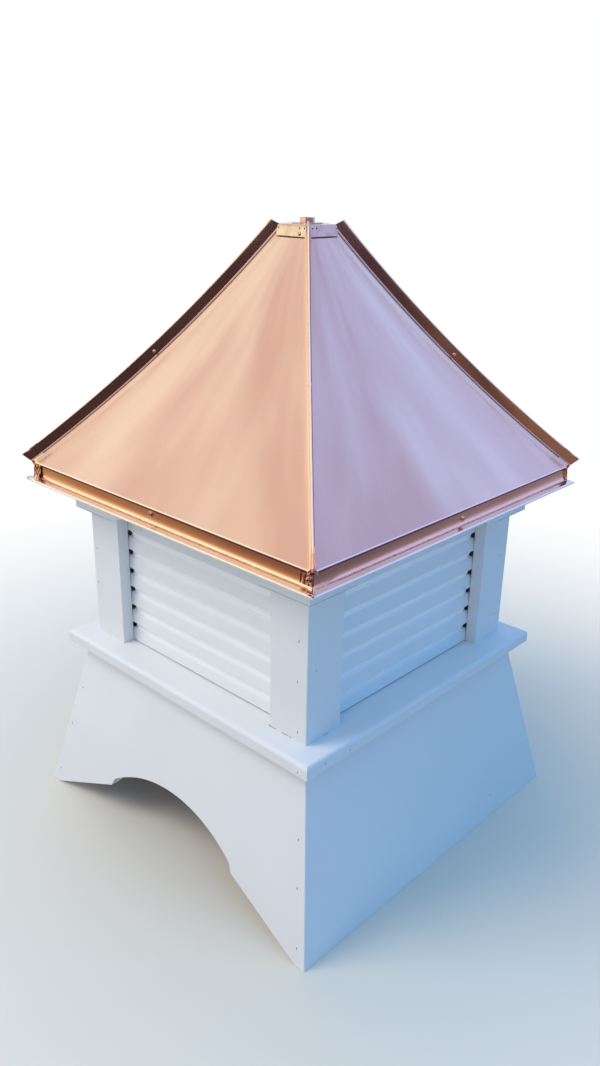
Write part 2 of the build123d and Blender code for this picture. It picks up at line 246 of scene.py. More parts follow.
card_profile = [(0.5, 0.006), (1.15, 0.006), (1.15, 1.05)]
dark_cards = (("dark_card", -98, -27, (0.05, 0.03, 0.042)),
              ("brown_card", -27, -20, (0.16, 0.105, 0.085)),
              ("dim_card", -20, -15, (0.075, 0.045, 0.05)),
              ("tan_card", -15, 8, (0.25, 0.17, 0.125)))
for name, start, end, tone in dark_cards:
    reflection_card(name, ring_card(card_profile, start, end), tone)
cloth_height = 0.0003
cloth_edges = (0.02, 1.75, 2.6, 3.7, 5.0, 13.0)
cloth_tones = {
    "left_cloth": (-225, ((0.22, 0.10, 0.075), (0.38, 0.19, 0.11), (0.62, 0.37, 0.20),
                          (0.88, 0.62, 0.36), (0.97, 0.80, 0.48))),
    "right_cloth": (-45, ((0.15, 0.12, 0.17), (0.22, 0.175, 0.24), (0.36, 0.30, 0.40),
                          (0.48, 0.46, 0.74), (0.62, 0.62, 1.1))),
}
for name, (start, tones) in cloth_tones.items():
    for i, tone in enumerate(tones):
        profile = [(edge, cloth_height) for edge in cloth_edges[i:i + 2]]
        reflection_card(f"{name}_{i}", ring_card(profile, start, start + 180), tone)
print(len(dark_cards), "dark cards and", len(cloth_edges) - 1, "cloths on each side")

# %% [markdown]
# Three effects turn up in the finishes. Cloud gives a soft, stretched mottle between 0 and 1, Fan
# gives streaks between 0 and 1 that spread down the roof from its peak, and Grain turns a fine
# noise into a height. Each is a node group with its own inputs, built once and placed in each
# material with its own values.

# %% Shared node groups
def new_group(name, output, **inputs):
    """An empty group: the group, what comes in, and the socket that goes out."""
    group = bpy.data.node_groups.new(name, "ShaderNodeTree")
    for socket, kind in inputs.items():
        group.interface.new_socket(socket, in_out="INPUT", socket_type="NodeSocket" + kind)
    group.interface.new_socket(output, in_out="OUTPUT", socket_type="NodeSocketFloat")
    entry = group.nodes.new("NodeGroupInput")
    leave = group.nodes.new("NodeGroupOutput")
    return group, entry.outputs, leave.inputs[output]


def maths(tree, operation, *values, clamp=False):
    """The result of a sum of numbers and other nodes' outputs."""
    node = add_node(tree, "Math", dict(enumerate(values)), operation=operation, use_clamp=clamp)
    return node.outputs["Value"]


def stretched_noise(tree, entry, detail, roughness):
    """Noise on the object's own coordinates, stretched and scaled by the group's inputs."""
    place = add_node(tree, "TexCoord").outputs["Object"]
    stretch = add_node(tree, "VectorMath", {0: place, 1: entry["Stretch"]}, operation="MULTIPLY")
    noise_inputs = {"Vector": stretch.outputs["Vector"], "Scale": entry["Scale"],
                    "Detail": detail, "Roughness": roughness}
    return add_node(tree, "TexNoise", noise_inputs).outputs["Fac"]


def contrasted(tree, mottle, contrast):
    """A mottle spread out from its middle by a contrast."""
    return maths(tree, "MULTIPLY", maths(tree, "SUBTRACT", mottle, 0.5), contrast)


cloud, entry, leave = new_group("cloud", "Mask", Stretch="Vector", Scale="Float", Contrast="Float")
push = contrasted(cloud, stretched_noise(cloud, entry, 3.0, 0.5), entry["Contrast"])
cloud.links.new(maths(cloud, "ADD", push, 0.5, clamp=True), leave)

grain, entry, leave = new_group("grain", "Height", Stretch="Vector", Scale="Float")
grain.links.new(stretched_noise(grain, entry, 4.0, 0.6), leave)

fan, entry, leave = new_group("fan", "Mask", Across="Float", Down="Float", Contrast="Float",
                              Shift="Float", Lean="Float")
axes = add_node(fan, "SeparateXYZ", {"Vector": add_node(fan, "TexCoord").outputs["Object"]}).outputs
wide = maths(fan, "MAXIMUM", maths(fan, "ABSOLUTE", axes["X"]), maths(fan, "ABSOLUTE", axes["Y"]))
shares = [maths(fan, "DIVIDE", axes[axis], wide) for axis in ("X", "Y")]
down = maths(fan, "ADD", maths(fan, "MULTIPLY", axes["Z"], entry["Down"]), entry["Shift"])
across = [maths(fan, "MULTIPLY", share, entry["Across"]) for share in shares]
spokes = add_node(fan, "CombineXYZ", {"X": across[0], "Y": across[1], "Z": down})
streaks = add_node(fan, "TexNoise", {"Vector": spokes.outputs["Vector"], "Scale": 1.0, "Detail": 3.0,
                                     "Roughness": 0.45, "Distortion": 0.25})
lean = maths(fan, "MULTIPLY", maths(fan, "MULTIPLY", *shares), entry["Lean"])
push = maths(fan, "ADD", contrasted(fan, streaks.outputs["Fac"], entry["Contrast"]), lean)
fan.links.new(maths(fan, "ADD", push, 0.5, clamp=True), leave)
print("node groups", [group.name for group in bpy.data.node_groups])

# %% [markdown]
# Every finish here is the same recipe with other numbers: two colours mixed by a cloud or a fan,
# a roughness that wanders with another cloud, and a fine grain in the bump. What is the same all
# over the surface, such as the metallic value, is set on the shader itself.

# %% A recipe for finishes
grain_depth = 0.5 * mm
wander_contrast = 2.5


def finish(name, light, dark, rough_low, rough_high, metallic=0.0, tone_scale=4.0,
           tone_stretch=(1, 1, 1), tone_contrast=2.0, rough_scale=14.0, grain_scale=350.0,
           grain_stretch=(1, 1, 1), bump=0.02, fan_streaks=None):
    """A procedural material from two tones, two roughness limits and a grain."""
    material, tree, shader_inputs = new_material(name)

    def effect(group, values):
        """The output of one shared group, placed with its own values."""
        return add_node(tree, "Group", values, node_tree=group).outputs[0]

    if fan_streaks:
        tone = effect(fan, fan_streaks)
    else:
        tone = effect(cloud, {"Stretch": tone_stretch, "Scale": tone_scale, "Contrast": tone_contrast})
    mix = add_node(tree, "Mix", {"Factor": tone, "A": (*dark, 1), "B": (*light, 1)}, data_type="RGBA")
    wander = effect(cloud, {"Stretch": tone_stretch, "Scale": rough_scale, "Contrast": wander_contrast})
    limits = add_node(tree, "MapRange", {"Value": wander, "To Min": rough_low, "To Max": rough_high})
    fine = effect(grain, {"Stretch": grain_stretch, "Scale": grain_scale})
    relief = add_node(tree, "Bump", {"Strength": bump, "Distance": grain_depth, "Height": fine})
    shader_inputs["Metallic"].default_value = metallic
    tree.links.new(mix.outputs["Result"], shader_inputs["Base Color"])
    tree.links.new(limits.outputs["Result"], shader_inputs["Roughness"])
    tree.links.new(relief.outputs["Normal"], shader_inputs["Normal"])
    return material


print("recipe", finish.__doc__)

# %% [markdown]
# The boards are white trim: a satin face with a faint cloudiness and a slightly pebbled skin.
# The blades are painted sheet and a little glossier, and the laps between them are painted paler
# as a painted highlight for the light that fills them.
# The timber inside is plain softwood.

# %% White boards, blades and timber
board_white = finish("board_white", (0.82, 0.82, 0.82), (0.775, 0.78, 0.785), 0.42, 0.56,
                     tone_scale=5.0, grain_scale=600.0, bump=0.15)
painted_sheet = {"tone_scale": 7.0, "tone_stretch": (1, 1, 3), "grain_scale": 500.0, "bump": 0.06}
blade_white = finish("blade_white", (0.83, 0.835, 0.845), (0.80, 0.805, 0.815), 0.3, 0.42,
                     **painted_sheet)
# Paler paint for the laps: a painted highlight for the light in them.
lap_painted_light = finish("lap_painted_light", (0.97, 0.97, 0.97), (0.94, 0.945, 0.95), 0.3, 0.42, **painted_sheet)
frame_timber = finish("frame_timber", (0.44, 0.35, 0.26), (0.34, 0.26, 0.18), 0.6, 0.8,
                      tone_scale=30.0, tone_stretch=(1, 1, 0.08), grain_scale=260.0,
                      grain_stretch=(1, 1, 0.06), bump=0.4)
print("finishes", [paint.name for paint in (board_white, blade_white, lap_painted_light, frame_timber)])

# %% [markdown]
# New copper sheet is pale and only slightly hazy. Its clouds run down the slope, left by the
# mill's rolls and by the hands that folded it. The seams and folds were handled most, so they
# are a shade darker. Edges and crests get a paler copper as a painted highlight for the light
# they catch.

# %% Copper
mill_sheet = {"metallic": 1.0, "grain_scale": 240.0, "bump": 0.02}
highlight_metal = {"metallic": 1.0, "tone_scale": 40.0, "grain_scale": 300.0, "bump": 0.02}
roll_streaks = {"Across": 2.3, "Down": 4.2, "Contrast": 2.2, "Shift": 0.0, "Lean": 0.42}
sheet_copper = finish("sheet_copper", (0.95, 0.68, 0.51), (0.76, 0.45, 0.34), 0.22, 0.34,
                      fan_streaks=roll_streaks, rough_scale=11.0, **mill_sheet)
eave_copper = finish("eave_copper", (0.97, 0.74, 0.57), (0.93, 0.66, 0.49), 0.14, 0.20,
                     tone_scale=14.0, tone_stretch=(1, 1, 0.2), rough_scale=12.0, **mill_sheet)
fold_copper = finish("fold_copper", (0.88, 0.57, 0.43), (0.80, 0.48, 0.35), 0.15, 0.21,
                     tone_scale=9.0, tone_contrast=1.6, rough_scale=12.0, **mill_sheet)
cap_copper = finish("cap_copper", (0.78, 0.63, 0.46), (0.58, 0.42, 0.30), 0.15, 0.24, metallic=1.0,
                    tone_scale=60.0, tone_contrast=2.6, rough_scale=30.0, grain_scale=240.0, bump=0.03)
# Paler copper for the edges and crests: a painted highlight.
edge_highlight_copper = finish("edge_highlight_copper", (0.98, 0.92, 0.84), (0.95, 0.84, 0.74), 0.26, 0.34, **highlight_metal)
crest_highlight_copper = finish("crest_highlight_copper", (1.0, 0.88, 0.62), (0.95, 0.82, 0.58), 0.26, 0.34, **highlight_metal)
screw_and_shade_copper = finish("screw_and_shade_copper", (0.84, 0.50, 0.40), (0.50, 0.24, 0.18), 0.2, 0.34, metallic=1.0,
                      tone_scale=160.0, tone_contrast=3.0, grain_scale=500.0, bump=0.1)
socket_brass = finish("socket_brass", (0.86, 0.62, 0.50), (0.72, 0.46, 0.34), 0.25, 0.4, metallic=1.0,
                      tone_scale=40.0, grain_scale=300.0, bump=0.05)
print("finishes", [metal.name for metal in (sheet_copper, eave_copper, fold_copper, cap_copper)])

# %% [markdown]
# Some marks are only darkness: slots over brads, open joints, and painted shade at the foot of a
# seam, under the cap, under the header and under the flange. They take dull finishes, nearly black
# or grey, with no shine to give them away.

# %% Dull finishes for gaps and joints
dull = {"grain_scale": 500.0, "bump": 0.1}
shadow_line = finish("shadow_line", (0.06, 0.06, 0.065), (0.03, 0.03, 0.035), 0.8, 0.95,
                     tone_scale=200.0, **dull)
# Brown-black for painted shade at the seams' feet and under the cap's rim.
shade_brown = finish("shade_brown", (0.055, 0.032, 0.03), (0.035, 0.02, 0.02), 0.8, 0.95,
                     tone_scale=60.0, **dull)
# Grey for lines of painted shade.
painted_shade_grey = finish("painted_shade_grey", (0.42, 0.43, 0.45), (0.30, 0.31, 0.33), 0.8, 0.95,
                    tone_scale=60.0, **dull)
print("finishes", [mark.name for mark in (shadow_line, shade_brown, painted_shade_grey)])

# %% [markdown]
# The CAD boards, blades and timber already have their true shape, so they only get a finish. The
# record says which slot each node takes, and each slot has its finish here.

# %% Finishes for the CAD nodes
slot_finish = {
    "white_board": board_white,
    "white_louvre": blade_white,
    "copper": fold_copper,
    "socket_metal": socket_brass,
    "timber": frame_timber,
}
node_slot = {part["node"]: part["material_slot"] for part in frame["record"]["subparts"]}
for node_name, node in frame["nodes"].items():
    node.data.materials.clear()
    node.data.materials.append(slot_finish[node_slot[node_name]])
print("finished nodes", len(frame["nodes"]))

# %% [markdown]
# The roof repeats the sizes of the CAD frame, in metres. A section across one side is a hollow
# curve from the peak down to the lower bend, a lip folded back under the bend, a fascia that
# curves out at its foot, and a flange that lies on the eave board. The CAD fascia is set well
# back; here it comes forward to where hand folding left it, and the flange covers the board. The
# lip and the fascia are two pieces here, with a dark open joint between them, as on the real one.

# %% Sizes of the roof
sheet = 1.0 * mm
eave_half = 295.0 * mm
peak_half = 24.5 * mm
eave_board_top = 556.0 * mm
eave_bend = 580.5 * mm
peak = 932.5 * mm
roof_sagitta = 11.3 * mm
fascia_half = 290.3 * mm
flange_inner_half = 292.2 * mm
flange_outer_half = 303.2 * mm
mitre_gap = 1.5 * mm * math.sqrt(2)
chord_run = eave_half - peak_half
chord_rise = peak - eave_bend
chord = math.hypot(chord_run, chord_rise)
roof_radius = (chord ** 2 / 4 + roof_sagitta ** 2) / (2 * roof_sagitta)
centre_out = (eave_half + peak_half) / 2 + (roof_radius - roof_sagitta) * chord_rise / chord
centre_up = (eave_bend + peak) / 2 + (roof_radius - roof_sagitta) * chord_run / chord
side_angle = {"front": 0, "right": 90, "back": 180, "left": 270}
hip_angle = {"front_right": 45, "back_right": 135, "back_left": 225, "front_left": 315}
seam_facing = {"front_right": 1, "back_right": -1, "back_left": -1, "front_left": 1}
print("roof radius", round(roof_radius, 3), "m")

# %% [markdown]
# A point of the roof is worked out in the section of one side, or in the upright plane of a hip,
# and then turned round the middle to its own side. So one drawing serves all four sides.

# %% Points on the roof
def roof_point(out, rise=0.0):
    """A point of the roof's section at a distance out, moved square to the sheet by rise."""
    across = centre_out - out
    drop = math.sqrt(roof_radius ** 2 - across ** 2)
    share = rise / roof_radius
    return out + across * share, centre_up - drop + drop * share


def hip_point(out, rise=0.0):
    """A point of the hip in its own upright plane, moved square to the hip by rise."""
    across = centre_out - out
    fall = across / math.sqrt(roof_radius ** 2 - across ** 2) / math.sqrt(2)
    length = math.hypot(fall, 1)
    return out * math.sqrt(2) + rise * fall / length, roof_point(out)[1] + rise / length


def turned(angle, along, out, up):
    """A point given as seen on the front, turned to the side or hip at an angle."""
    a = math.radians(angle)
    return Vector((along * math.cos(a) + out * math.sin(a),
                   along * math.sin(a) - out * math.cos(a), up))


print("height of the roof at its peak", round(roof_point(peak_half)[1], 4), "m")

# %% [markdown]
# Sheet metal is easiest as a skin of rows of points with a thickness added by the Solidify
# modifier, because a folded sheet has the same thickness everywhere. One helper makes a mesh from
# several such skins, one draws a skin that runs straight along a side, and one finishes the
# object: finish, thickness, place on the frame. A skin's open edges are marked sharp, so that
# the shading doesn't turn round them.

# %% Helpers for sheet metal
def add_skin(shaper, rows):
    """Adds the faces of one skin: rows of points, all of the same length."""
    grid = [[shaper.verts.new(point) for point in row] for row in rows]
    for upper, lower in zip(grid, grid[1:]):
        for i in range(len(upper) - 1):
            shaper.faces.new((lower[i], lower[i + 1], upper[i + 1], upper[i]))


def add_strip(shaper, angle, section, ends, steps):
    """Adds a skin along one side: a section of (out, up) points, each carried between two ends."""
    rows = []
    for out, up in section:
        left, right = ends(out)
        alongs = [left + (right - left) * i / steps for i in range(steps + 1)]
        rows.append([turned(angle, along, out, up) for along in alongs])
    add_skin(shaper, rows)


def point_rows(down, across, at):
    """Rows of points from a function of two shares, each from 0 to 1."""
    return [[at(i / down, j / across) for j in range(across + 1)] for i in range(down + 1)]


def piece(name, shaper, material, thickness=0.0, offset=-1.0, smooth_angle=40, replaces=()):
    """Turns a bmesh into a finished object that rides on the cupola."""
    for face in shaper.faces:
        face.smooth = True
    for edge in shaper.edges:
        if len(edge.link_faces) < 2 or edge.calc_face_angle(0) > math.radians(smooth_angle):
            edge.smooth = False
    made = mesh_object(name, shaper)
    made.data.materials.append(material)
    if thickness:
        thick = made.modifiers.new("thickness", "SOLIDIFY")
        thick.thickness = thickness
        thick.offset = offset
    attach(made, "root")
    if replaces:
        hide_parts(*replaces)
    return made


def face_counts(*pieces):
    """The number of faces of each piece, for the printed lines."""
    return [len(made.data.polygons) for made in pieces]


def bend(before, corner, after, steps=5):
    """Points of a soft bend: a parabola that leaves one line and joins the next."""
    points = []
    for i in range(steps + 1):
        t = i / steps
        points.append(tuple(
            (1 - t) ** 2 * b + 2 * t * (1 - t) * c + t ** 2 * a
            for b, c, a in zip(before, corner, after)
        ))
    return points


def ease_in(value, low, high):
    """A smooth step from 0 at low to 1 at high."""
    t = min(1.0, max(0.0, (value - low) / (high - low)))
    return t * t * (3 - 2 * t)


def between(start, end, share):
    """A point part of the way from one point of a section to another."""
    return tuple(a + (b - a) * share for a, b in zip(start, end))


print("bend helper gives", len(bend((0, 1), (0, 0), (1, 0))), "points")

# %% [markdown]
# Thin sheet never lies dead flat. It pants in and out a little between its seams, keeps soft
# creases where it was turned up along the hips, and has a shallow dent or two. The height of the
# skin over the true curve is a sum of these: a slow noise stretched down the slope, the soft rise
# towards each seam and a few short creases.

# %% Waves and creases of the panels
crease_marks = {
    "front": [(0.78, 0.30, 0.035, 0.5), (-0.86, 0.62, 0.045, 0.6), (-0.88, 0.86, 0.05, 0.7),
              (0.90, 0.80, 0.05, 0.6), (0.2, 0.12, 0.03, 0.35), (-0.82, 0.42, 0.04, 0.5)],
    "right": [(0.8, 0.35, 0.04, 0.45), (-0.85, 0.7, 0.05, 0.5), (0.88, 0.85, 0.045, 0.6)],
    "back": [(0.82, 0.5, 0.04, 0.5), (-0.87, 0.75, 0.05, 0.6)],
    "left": [(0.84, 0.66, 0.05, 0.6), (-0.8, 0.3, 0.04, 0.5)],
}


def edge_lift(edge):
    """How far a panel rises towards a seam, at a distance from its edge."""
    return 1.1 * mm * (1 - ease_in(edge, 0, 10 * mm))


def panel_rise(side, along, out, half):
    """Height of one panel's skin over the true curve of the roof."""
    edge = half - abs(along)
    calm = (ease_in(edge, 2 * mm, 45 * mm) * ease_in(eave_half - out, 0, 35 * mm)
            * ease_in(out - peak_half, 0, 25 * mm))
    seed = side_angle[side] / 13.0
    slow = noise.noise(Vector((along * 9 + seed, out * 2.6, seed)))
    quick = noise.noise(Vector((along * 24 + seed, out * 6, seed + 5)))
    height = calm * (0.9 * mm * slow + 0.18 * mm * quick) - 0.45 * mm * calm
    height += edge_lift(edge) * ease_in(out - peak_half, 0, 20 * mm)
    for share, down, length, depth in crease_marks[side]:
        at_out = peak_half + (eave_half - peak_half) * down
        at_along = share * at_out
        dx, dy = along - at_along, out - at_out
        turn = math.copysign(0.55, share)
        p = dx * math.cos(turn) - dy * math.sin(turn)
        q = dx * math.sin(turn) + dy * math.cos(turn)
        dent = depth * mm * math.exp(-(q / length) ** 2 - (p / (8 * mm)) ** 2)
        height -= dent * ease_in(edge, 0, 9 * mm)
    return height


print("creases", sum(len(marks) for marks in crease_marks.values()))

# %% [markdown]
# The lower edge of a side is drawn once, as a section: a steep nose under the bend, a lip folded
# back, then the fascia with its curved foot, and the flange on the eave board. Rows of points run
# along the side, and they lie closer near the seams, where the sheet turns up.

# %% Section of the eave
slope_steps = 84
edge_steps = [0, 1.2, 2.5, 4, 6, 8.5, 11.5]
slope_outs = [peak_half + (eave_half - peak_half) * i / slope_steps for i in range(slope_steps)]
nose_top = roof_point(eave_half - 1.7 * mm)
nose_foot = (nose_top[0] + 0.55 * mm, nose_top[1] - 1.6 * mm)
nose = (nose_foot[0] + 0.15 * mm, nose_foot[1] - 0.7 * mm)
lip_end = (fascia_half + 0.4 * mm, nose[1] - 1.3 * mm)
fascia = [(fascia_half + drift * mm, up * mm) for drift, up in (
    (0, 576.7), (0, 575.2), (0.02, 573.5), (0.05, 572), (0.11, 570.3), (0.19, 568.6), (0.31, 566.9),
    (0.47, 565.2), (0.7, 563.5), (1.02, 561.8), (1.5, 560.1), (1.78, 559.4))]
flange_top = eave_board_top + sheet
flange_fold = (flange_inner_half, flange_top + 0.6 * mm)
flange_end = (flange_outer_half - 1.2 * mm, flange_top)
eave_rows = [nose_top, between(nose_top, nose_foot, 0.25), between(nose_top, nose_foot, 0.6)]
eave_rows += bend(nose_foot, nose, between(nose, lip_end, 0.2), 4)
eave_rows += [between(nose, lip_end, 0.6), lip_end]
flange_rows = bend(fascia[-1], flange_fold, between(flange_fold, flange_end, 0.1), 4)[1:]
flange_rows += [between(flange_fold, flange_end, share) for share in (0.4, 0.7, 0.92)]
flange_rows += [flange_end, (flange_outer_half - 0.5 * mm, eave_board_top + 0.72 * mm),
                (flange_outer_half - 0.1 * mm, eave_board_top + 0.3 * mm),
                (flange_outer_half, eave_board_top)]


def panel_alongs(half, count=96):
    """Places along one row of a panel, close together near the seams."""
    left = [-half + step * mm for step in edge_steps]
    inner = half - edge_steps[-1] * mm
    middle = [-inner + 2 * inner * i / count for i in range(1, count)]
    return left + middle + [-a for a in reversed(left)]


print("points in the section", len(slope_outs) + len(eave_rows) + len(fascia + flange_rows))

# %% [markdown]
# A side is two pieces of sheet: the panel with its lip, and the eave fold with fascia and flange.
# The flange of the front and the back is cut off at a slant before the left corner. On the other
# two sides the fascia flares a little towards its left end.

# %% Copper panels and eave folds
fold_steps = 60


def copper_panel(side, angle):
    """The hollow panel of one side, down to the end of its lip."""
    rows = []
    for out in slope_outs:
        half = out - mitre_gap
        row = []
        for along in panel_alongs(half):
            at = roof_point(out, panel_rise(side, along, out, half))
            row.append(turned(angle, along, at[0], at[1]))
        rows.append(row)
    for out, up in eave_rows:
        rows.append([turned(angle, along, out, up) for along in panel_alongs(out - mitre_gap)])
    shaper = bmesh.new()
    add_skin(shaper, rows)
    piece(f"copper_panel_{side}", shaper, sheet_copper, thickness=sheet,
          replaces=[f"roof_panel_{side}"])


def eave_fold(side, angle):
    """The fascia and the flange of one side."""
    cut_short = side in ("front", "back")
    rows = []
    for out, up in fascia + flange_rows:
        left = right = out - 0.9 * mm
        if cut_short and out > flange_inner_half:
            left = 288 * mm - 20 * mm * (out - flange_inner_half) / (11 * mm)
        row = []
        for i in range(fold_steps + 1):
            along = -left + (left + right) * i / fold_steps
            flare = 0
            if not cut_short:
                flare = 1.1 * mm * ease_in(-along, 240 * mm, 288 * mm) * ease_in(up, 558 * mm, 564 * mm)
            row.append(turned(angle, along, out + flare, up))
        rows.append(row)
    shaper = bmesh.new()
    add_skin(shaper, rows)
    piece(f"eave_fold_{side}", shaper, eave_copper, thickness=sheet)


for side, angle in side_angle.items():
    copper_panel(side, angle)
    eave_fold(side, angle)
print("panels", len(side_angle), "rows down the slope", len(slope_outs))

# %% [markdown]
# A bent or cut edge of sheet catches the light as a thin pale line. Here the nose of each panel and
# the rim of each flange carry a narrow strip of paler copper, a painted highlight. A darker line
# of painted shade marks the fold at the foot of the fascia, in the dark copper of the screws, and a
# dark sheet of painted shade closes the open joint above it and covers the fascia's top edge.

# %% Edges, fold lines and open joints of the eave
flange_stop = 286 * mm
# The nose and rim strips are painted highlights.
nose_shine = bend(roof_point(eave_half - 1.8 * mm, 0.12 * mm),
                  (nose_foot[0] + 0.15 * mm, nose_foot[1] + 1.3 * mm),
                  (nose_foot[0] + 0.2 * mm, nose_foot[1] + 0.6 * mm), 4)
rim_shine = bend((flange_outer_half - 2.2 * mm, flange_top + 0.15 * mm),
                 (flange_outer_half + 0.5 * mm, flange_top + 0.7 * mm),
                 (flange_outer_half + 0.7 * mm, eave_board_top - 0.7 * mm), 5)
shaper = bmesh.new()
for angle in side_angle.values():
    add_strip(shaper, angle, nose_shine, lambda out: (mitre_gap - out, out - mitre_gap), 40)
    left = flange_stop if angle in (0, 180) else flange_outer_half - 2 * mm
    add_strip(shaper, angle, rim_shine, lambda out: (-left, out - 2 * mm), 40)
bright_edges = piece("bright_edges", shaper, edge_highlight_copper)
# The fold line is painted shade in the crease, in the screws' dark copper.
fold_section = [(292.2 * mm, 558.75 * mm), (292.42 * mm, 558.25 * mm), (292.9 * mm, 557.75 * mm)]
shaper = bmesh.new()
for angle in side_angle.values():
    add_strip(shaper, angle, fold_section, lambda out: (-flange_stop, flange_stop), 40)
fold_lines = piece("fold_lines", shaper, screw_and_shade_copper)
# A dark sheet behind the open joint and a dark strip over the fascia's top: painted shade.
backing = [(288.6 * mm, up * mm) for up in (582, 578, 572, 565, 558)]
fascia_top = [(288.9 * mm, 576.95 * mm), (290.2 * mm, 576.9 * mm), (290.4 * mm, 576.8 * mm),
              (290.42 * mm, 576.35 * mm)]
shaper = bmesh.new()
for angle in side_angle.values():
    add_strip(shaper, angle, backing, lambda out: (-out, out), 20)
    add_strip(shaper, angle, fascia_top, lambda out: (mm - out, out - mm), 20)
joint_shade = piece("joint_shade", shaper, shadow_line)
print("faces of the eave's lines", face_counts(bright_edges, fold_lines, joint_shade))

# %% [markdown]
# A hip seam is two turned-up edges locked together: one ply stands plain, and the other folds
# over its top and comes down on its far side. Each ply is a skin drawn as a short section and
# carried down the hip. The seam ends a little past the bend of the roof, further at its crest
# than at its foot.

# %% Plies of a hip seam
seam_height = 19
seam_overrun = 5.0 * mm
hip_steps = 60
hip_stations = [peak_half + (eave_half - peak_half) * i / hip_steps for i in range(hip_steps + 1)]


def panel_fall(out):
    """Fall of a panel away from the hip, per distance across it, in the section square to the hip."""
    slope = math.atan2(centre_out - out, math.sqrt(roof_radius ** 2 - (centre_out - out) ** 2))
    hip = math.atan(math.tan(slope) / math.sqrt(2))
    run = math.sin(slope) * math.sin(hip) / math.sqrt(2) + math.cos(slope) * math.cos(hip)
    return (math.sin(slope) / math.sqrt(2)) / run


def seam_sections(out, parting):
    """The two plies across the seam, as (across, rise) points in millimetres."""
    fall = panel_fall(out)
    foot = []
    for across, above in ((6.2, -1.6), (4.6, -0.95), (3.3, -0.35), (2.3, 0.3), (1.6, 1.0), (1.1, 1.8)):
        lift = edge_lift(across * math.sqrt(2) * mm - mitre_gap) / mm * 1.15
        foot.append((across, -fall * across + lift + above))
    over = foot + [(0.75, 2.2), (0.6, 4), (0.6, 8), (0.6, 12), (0.6, 16.8), (0.5, 17.9), (0.1, 18.4),
                   (-0.5, 18.4), (-0.95, 17.9), (-1.1 - parting * 0.5, 16.6), (-1.15 - parting, 14),
                   (-1.2 - parting * 1.4, 11.6)]
    under = [(-across, rise) for across, rise in foot]
    under += [(-0.6, 2.2), (-0.35, 4), (-0.33, 8), (-0.33, 12), (-0.33, 16.2)]
    return over, under


def seam_row(angle, facing, out, section, share=0.0):
    """One row of a ply, square to the hip; past the corner, it goes on in step with its rise."""
    row = []
    for across, rise in section:
        cut = 2.4 * mm * rise / seam_height * (1 - ease_in(out, 24 * mm, 44 * mm))
        run, up = hip_point(out + max(cut, 0), rise * mm)
        if share:
            back_run, back_up = hip_point(out - 1 * mm, rise * mm)
            climb = seam_overrun * max(rise - 1, 0) / (seam_height - 1)
            past = (climb - 1.6 * mm * max(abs(across) - 1, 0) / 4) * share
            length = math.hypot(run - back_run, up - back_up)
            run, up = run + (run - back_run) / length * past, up + (up - back_up) / length * past
        row.append(turned(angle, facing * across * mm, run, up))
    return row


print("height of a seam", seam_height, "mm")

# %% [markdown]
# The lower end was snipped and never quite closed, so the two plies part there, and a small flap
# of the folded one stands off. The plies also waver a little along the hip.

# %% Hip seams
def seam_flap(angle, facing):
    """The loose end of the folded ply, as rows of points."""
    def at(down, across):
        out = eave_half + (1.6 - 17 * (1 - down)) * mm
        run, up = hip_point(out, (18.5 - 4.2 * (1 - down) * across) * mm)
        return turned(angle, facing * (1.3 + 0.6 * across) * mm, run, up)

    return point_rows(6, 3, at)


for corner, angle in hip_angle.items():
    shaper = bmesh.new()
    facing = seam_facing[corner]
    rows_over, rows_under = [], []
    stations = [(out, 0.0) for out in hip_stations[:-1]]
    stations += [(eave_half - 0.6 * mm, share) for share in (0.3, 0.6, 1.0)]
    for out, share in stations:
        parting = 1.2 * ease_in(out, eave_half - 22 * mm, eave_half)
        parting += 0.12 * noise.noise(Vector((out * 30, angle, 0)))
        over, under = seam_sections(out, max(parting, 0))
        rows_over.append(seam_row(angle, facing, out, over, share))
        rows_under.append(seam_row(angle, facing, out, under, share))
    add_skin(shaper, rows_over)
    add_skin(shaper, rows_under)
    add_skin(shaper, seam_flap(angle, facing))
    piece(f"seam_{corner}", shaper, fold_copper, thickness=0.8 * mm, offset=0.0,
          smooth_angle=60, replaces=[f"hip_seam_{corner}"])
print("seams", len(hip_angle), "stations", len(stations))

# %% [markdown]
# The crest of a seam and the turned-up feet of the panels on both sides of it get a paler
# copper, a painted highlight. On the folded side a thin painted shade lies between the foot and
# the standing ply.

# %% Crests, feet and shades of the seams
line_lift = 0.45
crest = [(1.1, 17.4), (1.0, 18.2), (0.4, 18.92), (-0.8, 18.92), (-1.4, 18.2), (-1.55, 17.3)]
# The crest and feet strips are a painted highlight.
shaper = bmesh.new()
for corner, angle in hip_angle.items():
    facing = seam_facing[corner]
    add_skin(shaper, [seam_row(angle, facing, out, crest) for out in hip_stations[1:-2]])
    for side_facing, first, last in ((facing, 0, 2), (-facing, 2, 6)):
        rows = []
        for out in hip_stations[2:-3]:
            foot = [(across, rise + line_lift) for across, rise in seam_sections(out, 0)[0][first:last]]
            rows.append(seam_row(angle, side_facing, out, foot))
        add_skin(shaper, rows)
seam_crests = piece("seam_crests", shaper, crest_highlight_copper, smooth_angle=60)
shaper = bmesh.new()
for corner, angle in hip_angle.items():
    rows = []
    for out in hip_stations[1:-3]:
        foot = seam_sections(out, 0)[0][4:2:-1]
        shade = [(across + 0.3, rise + line_lift) for across, rise in foot]
        rows.append(seam_row(angle, seam_facing[corner], out, shade))
    add_skin(shaper, rows)
seam_shadows = piece("seam_shadows", shaper, shade_brown, smooth_angle=60)
print("faces of the crests, feet and shades", face_counts(seam_crests, seam_shadows))

# %% [markdown]
# The cap is a small tray turned upside down over the peak. Its top is one square, slightly domed,
# and its four flanges were bent down separately, so each has its own rounded corners and the
# seams rise between them. Under its rim a painted shadow lies on the roof as a dark line.

# %% Cap over the peak
cap_half = 31.0 * mm
cap_flare = 2.0 * mm
cap_bottom = 919.0 * mm
cap_top = 937.75 * mm
cap_rim = 934.8 * mm
corner_round = 4.0 * mm


